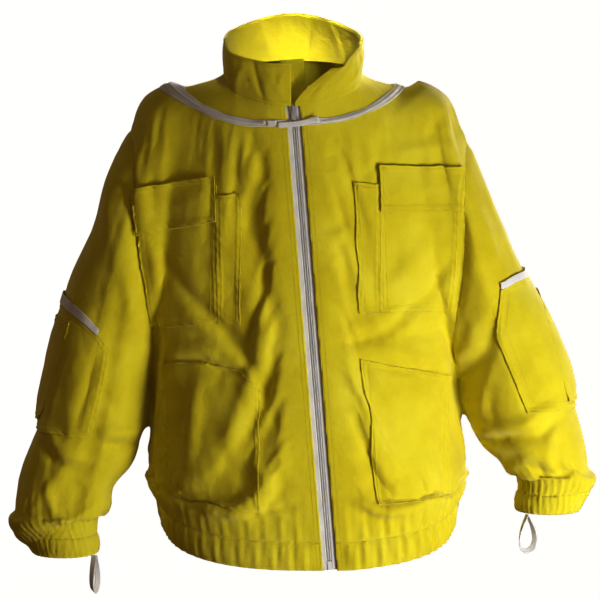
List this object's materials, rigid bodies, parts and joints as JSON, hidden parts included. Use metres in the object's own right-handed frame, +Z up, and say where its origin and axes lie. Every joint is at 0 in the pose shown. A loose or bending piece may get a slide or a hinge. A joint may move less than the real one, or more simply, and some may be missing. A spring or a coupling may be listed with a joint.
{
  "type": "beekeeping jacket",
  "caption": "Loose cotton jacket with a stand collar, front zip, hood zip round the yoke, patch pockets on chest, waist and sleeves, gathered waist and cuffs, and thumb loops.",
  "frame": {"origin": "middle of the neck opening, where the wearer's neck holds the jacket up", "axes": "+X to the wearer's left, +Y to the back, +Z up"},
  "size_m": [0.8327, 0.2956, 0.8092],
  "materials": {
    "cotton_cloth": "plain-weave cotton drill, matt",
    "cotton_lining": "inner side of the same cotton, matt",
    "white_tape": "white woven tape",
    "elastic_web": "white elastic webbing",
    "nylon_chain": "white nylon",
    "zip_metal": "dull plated metal",
    "touch_fastener": "hook-and-loop strip"
  },
  "bodies": {
    "jacket": {"front_panel_right": "cotton_cloth", "front_panel_left": "cotton_cloth", "back_panel": "cotton_cloth", "collar_outer": "cotton_cloth", "waistband_front_right": "cotton_cloth", "waistband_front_left": "cotton_cloth", "waistband_back": "cotton_cloth", "collar_inner": "cotton_lining", "waistband_facing": "cotton_lining", "waist_elastic": "elastic_web", "sleeve_upper_right": "cotton_cloth", "sleeve_pocket_right": "cotton_cloth", "sleeve_pen_pocket_right": "cotton_cloth", "sleeve_pocket_trim_right": "white_tape", "chest_pocket_right": "cotton_cloth", "chest_pen_pocket_right": "cotton_cloth", "chest_loop_patch_right": "touch_fastener", "lower_pocket_right": "cotton_cloth", "front_zip_tape_right": "white_tape", "front_zip_chain_right": "nylon_chain", "front_zip_top_stop_right": "zip_metal", "sleeve_upper_left": "cotton_cloth", "sleeve_pocket_left": "cotton_cloth", "sleeve_pen_pocket_left": "cotton_cloth", "sleeve_pocket_trim_left": "white_tape", "chest_pocket_left": "cotton_cloth", "chest_pen_pocket_left": "cotton_cloth", "chest_loop_patch_left": "touch_fastener", "lower_pocket_left": "cotton_cloth", "front_zip_tape_left": "white_tape", "front_zip_chain_left": "nylon_chain", "front_zip_top_stop_left": "zip_metal", "front_zip_box": "nylon_chain", "front_zip_pin": "zip_metal", "zip_guard": "cotton_lining", "hood_zip_tape": "white_tape", "hood_zip_chain": "nylon_chain", "hood_zip_start": "nylon_chain"},
    "zip_slider": {"front_zip_slider": "zip_metal"},
    "zip_pull": {"front_zip_pull": "zip_metal"},
    "chest_flap_right": {"chest_flap_right": "cotton_cloth", "chest_hook_patch_right": "touch_fastener"},
    "chest_flap_left": {"chest_flap_left": "cotton_cloth", "chest_hook_patch_left": "touch_fastener"},
    "forearm_right": {"sleeve_lower_right": "cotton_cloth", "cuff_right": "cotton_cloth", "cuff_elastic_right": "elastic_web"},
    "forearm_left": {"sleeve_lower_left": "cotton_cloth", "cuff_left": "cotton_cloth", "cuff_elastic_left": "elastic_web"},
    "thumb_loop_right": {"finger_loop_right": "elastic_web"},
    "thumb_loop_left": {"finger_loop_left": "elastic_web"},
    "hood_zip_end": {"hood_zip_tail": "white_tape"}
  },
  "joints": [
    {"name": "front_zip_slide", "type": "slide", "parent": "jacket", "child": "zip_slider", "axis": [0.0803, -0.0551, -0.9952], "range_m": [0, 0.605]},
    {"name": "zip_pull_hinge", "type": "hinge", "parent": "zip_slider", "child": "zip_pull", "pos_m": [0.00064, -0.10169, -0.05292], "axis": [-0.9968, 0, -0.0804], "range_deg": [0, 150]},
    {"name": "chest_flap_right_hinge", "type": "hinge", "parent": "jacket", "child": "chest_flap_right", "pos_m": [-0.1683, -0.0796, -0.146], "axis": [-0.9498, 0.285, -0.1288], "range_deg": [0, 110]},
    {"name": "chest_flap_left_hinge", "type": "hinge", "parent": "jacket", "child": "chest_flap_left", "pos_m": [0.1816, -0.0752, -0.1248], "axis": [-0.9421, -0.3353, 0.004], "range_deg": [0, 110]},
    {"name": "elbow_right", "type": "hinge", "parent": "jacket", "child": "forearm_right", "pos_m": [-0.302, -0.068, -0.512], "axis": [-1, 0, 0], "range_deg": [0, 90]},
    {"name": "elbow_left", "type": "hinge", "parent": "jacket", "child": "forearm_left", "pos_m": [0.338, -0.07, -0.478], "axis": [-1, 0, 0], "range_deg": [0, 90]},
    {"name": "thumb_loop_right_swing", "type": "hinge", "parent": "forearm_right", "child": "thumb_loop_right", "pos_m": [-0.2787, -0.03005, -0.6763], "axis": [-0.9659, 0.2588, 0], "range_deg": [-50, 50]},
    {"name": "thumb_loop_left_swing", "type": "hinge", "parent": "forearm_left", "child": "thumb_loop_left", "pos_m": [0.32659, -0.04641, -0.6153], "axis": [-0.4226, 0.9063, 0], "range_deg": [-50, 50]},
    {"name": "hood_zip_end_lift", "type": "hinge", "parent": "jacket", "child": "hood_zip_end", "pos_m": [-0.01977, -0.10458, -0.0735], "axis": [0.0803, -0.0551, -0.9952], "range_deg": [0, 100]}
  ]
}
